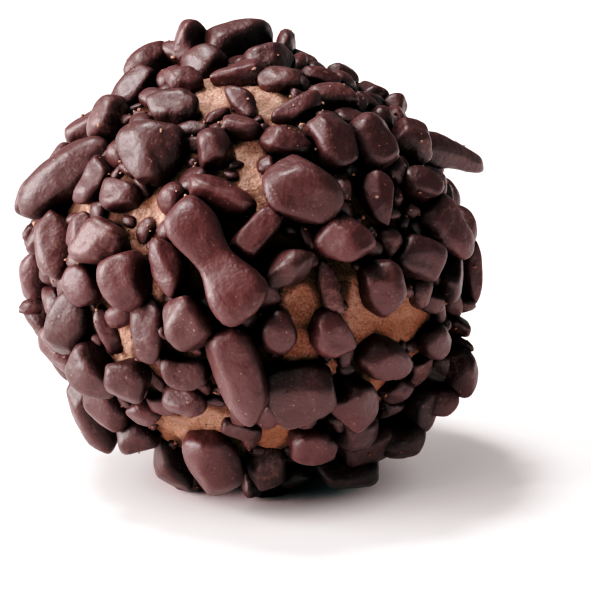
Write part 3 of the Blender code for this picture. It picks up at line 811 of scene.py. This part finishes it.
class Shader:
    """A material's node tree, with its principled shader and short calls that add and link nodes."""

    def __init__(self, name):
        self.material = bpy.data.materials.new(name)
        self.material.use_nodes = True
        self.tree = self.material.node_tree
        self.surface = self.tree.nodes["Principled BSDF"]
        place = self.tree.nodes.new("ShaderNodeTexCoord").outputs["Object"]
        in_mm = self.node("ShaderNodeVectorMath", {0: place}, operation="SCALE")
        in_mm.inputs["Scale"].default_value = 1 / MM
        self.place_in_mm = in_mm.outputs["Vector"]

    def node(self, kind, inputs, **settings):
        made = self.tree.nodes.new(kind)
        for key, value in settings.items():
            setattr(made, key, value)
        for socket, value in inputs.items():
            self.feed(made.inputs[socket], value)
        return made

    def feed(self, socket, value):
        if isinstance(value, bpy.types.NodeSocket):
            self.tree.links.new(value, socket)
        else:
            socket.default_value = value

    def waves(self, pattern):
        inputs = {
            "Vector": self.place_in_mm,
            "Scale": MM / pattern.wavelength,
            "Detail": pattern.detail,
            "Roughness": pattern.roughness,
        }
        return self.node("ShaderNodeTexNoise", inputs).outputs["Fac"]

    def shown(self, pattern, waves=None, least=0.0, most=1.0):
        return self.ramp(waves or self.waves(pattern), pattern.low, pattern.high, least, most)

    def ramp(self, value, low, high, out_low=0.0, out_high=1.0):
        inputs = {"Value": value, "From Min": low, "From Max": high, "To Min": out_low, "To Max": out_high}
        return self.node("ShaderNodeMapRange", inputs).outputs["Result"]

    def maths(self, operation, first, second):
        return self.node("ShaderNodeMath", {0: first, 1: second}, operation=operation).outputs[0]

    def blend(self, share, first, second):
        made = self.node("ShaderNodeMix", {0: share}, data_type="RGBA")
        for socket, value in zip(COLOUR_SOCKETS, (first, second)):
            linked = isinstance(value, bpy.types.NodeSocket)
            self.feed(made.inputs[socket], value if linked else (*value, 1.0))
        return made.outputs[BLENDED_SOCKET]

    def attribute(self, name):
        return self.node("ShaderNodeAttribute", {}, attribute_name=name).outputs["Fac"]

    def bump(self, height, distance, strength=1.0, normal=None):
        inputs = {"Height": height, "Distance": distance, "Strength": strength}
        if normal:
            inputs["Normal"] = normal
        return self.node("ShaderNodeBump", inputs).outputs["Normal"]

    def finished(self, inputs):
        for socket, value in inputs.items():
            self.feed(self.surface.inputs[socket], value)
        return self.material


def chocolate_material(colours):
    """Satin dark chocolate: mottled, each nugget of its own tone, with scuffs, specks and pale powder."""
    shader = Shader("dark_chocolate")
    mottle = shader.waves(MOTTLE)
    fine = shader.waves(FINE_MOTTLE)
    own = shader.maths("MULTIPLY", shader.attribute("tone"), OWN_TONE_SHARE)
    tone = shader.maths("ADD", own, shader.maths("MULTIPLY", mottle, MOTTLE_SHARE))
    tone = shader.maths("ADD", tone, shader.shown(FINE_MOTTLE, fine, -FINE_SHARE, FINE_SHARE))
    tone = shader.ramp(tone, *TONE_RANGE)
    colour = shader.blend(tone, colours.chocolate_dark, colours.chocolate_light)
    colour = shader.blend(shader.shown(SCUFFS, most=SCUFF_SHARE), colour, colours.dust)
    specks = shader.maths("MULTIPLY", shader.shown(SPECKS, most=SPECK_SHARE), shader.shown(SPECK_CLUSTERS))
    dusty = shader.ramp(shader.attribute("dust"), *DUSTY_NUGGETS, 0.0, POWDER_SHARE)
    dust = shader.maths("MAXIMUM", specks, shader.maths("MULTIPLY", shader.shown(POWDER), dusty))
    matt = shader.maths("MULTIPLY", dust, DUST_ROUGHNESS)
    swells = shader.bump(shader.waves(SWELLS), SWELL_DEPTH)
    inputs = {
        "Base Color": shader.blend(dust, colour, colours.dust),
        "Roughness": shader.maths("ADD", shader.shown(MOTTLE, mottle, *CHOCOLATE_ROUGHNESS), matt),
        "Coat Weight": COAT_SHARE,
        "Coat Roughness": COAT_ROUGHNESS,
        "Sheen Weight": SHEEN_SHARE,
        "Sheen Roughness": SHEEN_ROUGHNESS,
        "Sheen Tint": SHEEN_TINT,
        "Normal": shader.bump(fine, FINE_DEPTH, normal=swells),
    }
    return shader.finished(inputs)


def praline_material(colours):
    """Soft sandy praline: light and dark grains, darker and warmer in patches and in painted shade low on
    the ball.
    """
    shader = Shader("praline")
    lumps = shader.waves(PALE_LUMPS)
    grains = shader.waves(PALE_GRAINS)
    # Painted light: paler towards the light, with fewer warm patches. Painted shade: warmer and darker away
    # from it
    towards_light = shader.node("ShaderNodeVectorMath", {0: shader.place_in_mm}, operation="DOT_PRODUCT")
    towards_light.inputs[1].default_value = LIGHT_WAY
    painted_light = shader.ramp(towards_light.outputs["Value"], *PAINTED_LIGHT_RANGE_MM)
    warmth = shader.shown(WARM_PATCHES, None, *WARM_SHARES)
    warmth = shader.maths("SUBTRACT", warmth, painted_light)
    warmth = shader.node("ShaderNodeClamp", {"Value": warmth}).outputs[0]
    colour = shader.blend(warmth, colours.praline, colours.praline_warm_and_shaded)
    # Pale lumps only where the painted light is
    lit_pale_lumps = shader.maths("MULTIPLY", shader.shown(PALE_LUMPS, lumps, most=PALE_LUMP_SHARE), painted_light)
    colour = shader.blend(lit_pale_lumps, colour, colours.praline_pale_grains_and_light)
    pale_grains_and_painted_light = shader.ramp(painted_light, 0.0, 1.0, *PALE_GRAIN_SHARES)
    pale_grains_and_painted_light = shader.maths("MULTIPLY", shader.shown(PALE_GRAINS, grains), pale_grains_and_painted_light)
    colour = shader.blend(pale_grains_and_painted_light, colour, colours.praline_pale_grains_and_light)
    dark_grains = shader.ramp(grains, *DARK_GRAINS, 0.0, DARK_GRAIN_SHARE)
    colour = shader.blend(dark_grains, colour, colours.praline_dark_grains_and_shade)
    # Praline that is not bare is darkened to the deep and stain colours: painted shade between the nuggets
    # in front, stains elsewhere
    bare = shader.attribute("bare")
    colour = shader.blend(shader.ramp(bare, *BARE_RANGE, DEEP_SHARE, 0.0), colour, colours.praline_dark_grains_and_shade)
    low = shader.bump(lumps, LUMP_DEPTH)
    inputs = {
        "Base Color": shader.blend(bare, colours.stain_and_painted_shade, colour),
        "Roughness": shader.ramp(grains, *GRAIN_ROUGHNESS_RANGE, *PRALINE_ROUGHNESS),
        "Subsurface Weight": SOFTNESS,
        "Subsurface Radius": SOFT_REACH,
        "Subsurface Scale": SOFT_DEPTH,
        "Normal": shader.bump(grains, GRAIN_DEPTH, normal=low),
    }
    return shader.finished(inputs)


def floor_material(colours):
    """A pale matt floor, faintly uneven, with painted light away from the foot and painted warm shade round
    it.
    """
    shader = Shader("floor")
    shaded = tuple(channel * FLOOR_PATCH_SHADE for channel in colours.floor)
    open_floor = shader.blend(shader.shown(FLOOR_PATCHES), colours.floor, shaded)
    from_foot = shader.node("ShaderNodeVectorMath", {0: shader.place_in_mm}, operation="LENGTH")
    from_foot = from_foot.outputs["Value"]
    # Painted warm shade round the foot, under the truffle
    warmth = shader.ramp(from_foot, *WARM_SHADE_RANGE_MM)
    # Painted light: the floor glows away from the foot, lightening the truffle's shadow
    glow = shader.ramp(from_foot, *GLOW_RANGE_MM)
    inputs = {
        "Base Color": shader.blend(warmth, colours.floor_warm_shade, open_floor),
        "Roughness": FLOOR_ROUGHNESS,
        "Emission Color": shader.blend(glow, (0.0, 0.0, 0.0), colours.floor),
        "Emission Strength": FLOOR_GLOW,
    }
    return shader.finished(inputs)


def shared_material(name, make, colours):
    """The material of this name, made when it is first asked for."""
    return bpy.data.materials.get(name) or make(colours)


def length(name, description, default):
    return FloatProperty(
        name=name, description=description, default=default, min=0.0, unit="LENGTH", precision=5
    )


def count(name, description, default):
    return IntProperty(name=name, description=description, default=default, min=0)


def strength(name, description, default):
    return FloatProperty(name=name, description=description, default=default, min=0.0)


def colour(name, description, default):
    return FloatVectorProperty(
        name=name, description=description, default=default, size=3, min=0.0, max=1.0, subtype="COLOR"
    )


class TruffleShape(PropertyGroup):
    """Sizes of the relief on the ball and its nuggets, and how many crumbs there are."""

    praline_grain: length("Praline grain", "Height of the praline's sandy grain", 0.03 * MM)
    praline_lumps: length("Praline lumps", "Height of the praline's low lumps", 0.05 * MM)
    praline_climb: length("Praline climb", "How far the praline climbs against the nuggets", 0.15 * MM)
    nugget_dents: length("Nugget dents", "Height of the low dents in the nuggets", 0.06 * MM)
    praline_crumbs: count("Praline crumbs", "Tan crumbs on the nuggets", 800)
    chocolate_crumbs: count("Chocolate crumbs", "Dark crumbs on the praline", 90)


class TruffleColours(PropertyGroup):
    """Colours of the chocolate, the praline and the floor."""

    chocolate_dark: colour("Dark chocolate", "The darkest nuggets", (0.055, 0.0200, 0.0190))
    chocolate_light: colour("Lighter chocolate", "The lightest nuggets", (0.085, 0.0295, 0.0292))
    dust: colour("Dust", "Pale dust on the chocolate", (0.40, 0.27, 0.23))
    praline: colour("Praline", "Most of the praline", (0.37, 0.205, 0.150))
    # The warm praline's colour is also the painted shade low and away from the light
    praline_warm_and_shaded: colour("Warm praline", "Its darker, warmer patches", (0.29, 0.135, 0.080))
    # The pale grains' colour is also the painted light high up towards the light
    praline_pale_grains_and_light: colour("Pale grains", "The praline's lightest grains", (0.66, 0.455, 0.385))
    # The deep grains' colour is also the painted shade between the nuggets in front
    praline_dark_grains_and_shade: colour("Deep grains", "The praline's darkest grains", (0.155, 0.070, 0.042))
    # The stained praline's colour is also the painted shade between the nuggets in front
    stain_and_painted_shade: colour("Stained praline", "Praline that melted chocolate has darkened", (0.10, 0.045, 0.030))
    floor: colour("Floor", "The pale floor", (0.86, 0.795, 0.790))
    # The floor's painted warm shade round the foot
    floor_warm_shade: colour("Floor by the foot", "The floor in the truffle's warm shade", (0.86, 0.67, 0.66))


class TruffleStage(PropertyGroup):
    """The floor and the lights."""

    floor_width: length("Floor width", "Width of the square floor", 3.0)
    key: strength("Key light", "The light from above that casts the shadow", 2.4)
    side: strength("Side light", "The broad light from the left", 6.5)
    front: strength("Front light", "The broad light from the left and front", 0.6)
    around: strength("Light all round", "The even light of the room", 0.22)


class TRUFFLE_OT_ball(Operator):
    """Make the praline ball: a sphere with sandy grain and low lumps that climbs against its nuggets"""

    bl_idname = "truffle.ball"
    bl_label = "Praline ball"

    def execute(self, context):
        shape, colours = context.scene.truffle_shape, context.scene.truffle_colours
        directions, quads = cube_sphere(BALL_STEPS)
        radii = BALL_RADIUS + ball_height(directions, shape)
        points = BALL_MIDDLE + directions * radii[:, None]
        material = shared_material("praline", praline_material, colours)
        ball = make_piece("praline_ball", points, quads, material, {"bare": ball_clear_of_stain_and_shade(directions)})
        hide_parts("truffle")
        return {"FINISHED"}


class TRUFFLE_OT_nuggets(Operator):
    """Make the nuggets of crisp in chocolate, one piece for each kind"""

    bl_idname = "truffle.nuggets"
    bl_label = "Nuggets"

    def execute(self, context):
        shape, colours = context.scene.truffle_shape, context.scene.truffle_colours
        material = shared_material("dark_chocolate", chocolate_material, colours)
        for kind, nuggets in nuggets_by_kind().items():
            steps = BIT_STEPS if kind == "bits" else NUGGET_STEPS
            make_nuggets(f"nugget_{kind}", nuggets, steps, shape.nugget_dents, material)
        return {"FINISHED"}


class TRUFFLE_OT_crumbs(Operator):
    """Make the crumbs: tan ones on the nuggets, dark ones on the praline"""

    bl_idname = "truffle.crumbs"
    bl_label = "Crumbs"

    def execute(self, context):
        shape, colours = context.scene.truffle_shape, context.scene.truffle_colours
        random = np.random.default_rng(CRUMB_SEED)
        nuggets = [entry for entries in nuggets_by_kind().values() for entry in entries]
        directions, _ = cube_sphere(PLACE_STEPS)
        places = []
        for pick in random.integers(len(nuggets), size=shape.praline_crumbs):
            index, nugget = nuggets[pick]
            points = nugget_points(index, nugget, directions, 0.0)
            clear = np.linalg.norm(points - BALL_MIDDLE, axis=1) > BALL_RADIUS + CLEAR_OF_BALL
            places.append(points[random.choice(np.flatnonzero(clear))] if clear.any() else points[0])
        sizes = CRUMB_RADIUS * random.uniform(*TAN_CRUMB_SHARES, shape.praline_crumbs) ** 2
        tan = shared_material("praline", praline_material, colours)
        make_specks("praline_crumbs", np.array(places), sizes, random, tan)

        outward = unit_rows(random.normal(size=(shape.chocolate_crumbs, 3)))
        radii = BALL_RADIUS + ball_height(outward, shape)
        places = BALL_MIDDLE + outward * radii[:, None]
        sizes = CRUMB_RADIUS * random.uniform(*DARK_CRUMB_SHARES, shape.chocolate_crumbs) ** 2
        dark = shared_material("dark_chocolate", chocolate_material, colours)
        specks = make_specks("chocolate_crumbs", places, sizes, random, dark)
        return {"FINISHED"}


class TRUFFLE_OT_stage(Operator):
    """Make the pale floor, the lights and the camera, at the height that the truffle is seen from"""

    bl_idname = "truffle.stage"
    bl_label = "Floor, lights and camera"

    def execute(self, context):
        scene = context.scene
        stage, colours = scene.truffle_stage, scene.truffle_colours
        half = stage.floor_width / 2
        square = ((-half, -half), (half, -half), (half, half), (-half, half))
        corners = [(across, back, -FLOOR_GAP) for across, back in square]
        mesh = bpy.data.meshes.new("floor")
        mesh.from_pydata(corners, [], [(0, 1, 2, 3)])
        mesh.materials.append(floor_material(colours))
        floor = bpy.data.objects.new("floor", mesh)
        scene.collection.objects.link(floor)

        for name, angles in LAMP_ANGLES.items():
            elevation, bearing, spread = (math.radians(angle) for angle in angles)
            lamp = bpy.data.lights.new(name, "SUN")
            lamp.energy = getattr(stage, name)
            lamp.angle = spread
            light = bpy.data.objects.new(name, lamp)
            light.rotation_euler = (0, math.pi / 2 - elevation, bearing)
            scene.collection.objects.link(light)

        world = bpy.data.worlds.new("room")
        world.use_nodes = True
        background = world.node_tree.nodes["Background"]
        background.inputs["Color"].default_value = ROOM_COLOUR
        background.inputs["Strength"].default_value = stage.around
        scene.world = world

        lens = bpy.data.cameras.new("camera")
        lens.angle = 2 * math.atan(VIEW_MIDDLE / PIXELS_PER_MM * MM / EYE_DISTANCE)
        lens.clip_start = NEAREST_SEEN
        camera = bpy.data.objects.new("camera", lens)
        camera.location = EYE
        camera.rotation_euler = (math.pi / 2 - EYE_ELEVATION, 0, 0)
        scene.collection.objects.link(camera)
        scene.camera = camera
        scene.view_settings.view_transform = "Standard"
        scene.view_settings.use_curve_mapping = True
        tones = scene.view_settings.curve_mapping
        for curve, points in zip(tones.curves, (RED_TONES, COOL_TONES, COOL_TONES)):
            for shown_from, shown_as in points:
                curve.points.new(shown_from, shown_as)
        tones.update()
        return {"FINISHED"}


class TRUFFLE_PT_panel(Panel):
    """Sizes, colours and the steps that make the truffle"""

    bl_label = "Chocolate truffle"
    bl_space_type = "VIEW_3D"
    bl_region_type = "UI"
    bl_category = "Truffle"

    def draw(self, context):
        layout = self.layout
        for name in GROUPS:
            group = getattr(context.scene, name)
            box = layout.box()
            for key in group.bl_rna.properties.keys():
                if key not in ("rna_type", "name"):
                    box.prop(group, key)
        for step in STEPS:
            layout.operator(step.bl_idname)


STEPS = (TRUFFLE_OT_ball, TRUFFLE_OT_nuggets, TRUFFLE_OT_crumbs, TRUFFLE_OT_stage)
GROUPS = {"truffle_shape": TruffleShape, "truffle_colours": TruffleColours, "truffle_stage": TruffleStage}


def register():
    for made in (*GROUPS.values(), *STEPS, TRUFFLE_PT_panel):
        bpy.utils.register_class(made)
    for name, group in GROUPS.items():
        setattr(bpy.types.Scene, name, PointerProperty(type=group))


def unregister():
    for name in GROUPS:
        delattr(bpy.types.Scene, name)
    for made in (TRUFFLE_PT_panel, *reversed(STEPS), *reversed(GROUPS.values())):
        bpy.utils.unregister_class(made)


def main():
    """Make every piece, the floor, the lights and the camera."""
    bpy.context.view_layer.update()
    register()
    bpy.ops.truffle.ball()
    bpy.ops.truffle.nuggets()
    bpy.ops.truffle.crumbs()
    bpy.ops.truffle.stage()


if __name__ == "__main__":
    main()
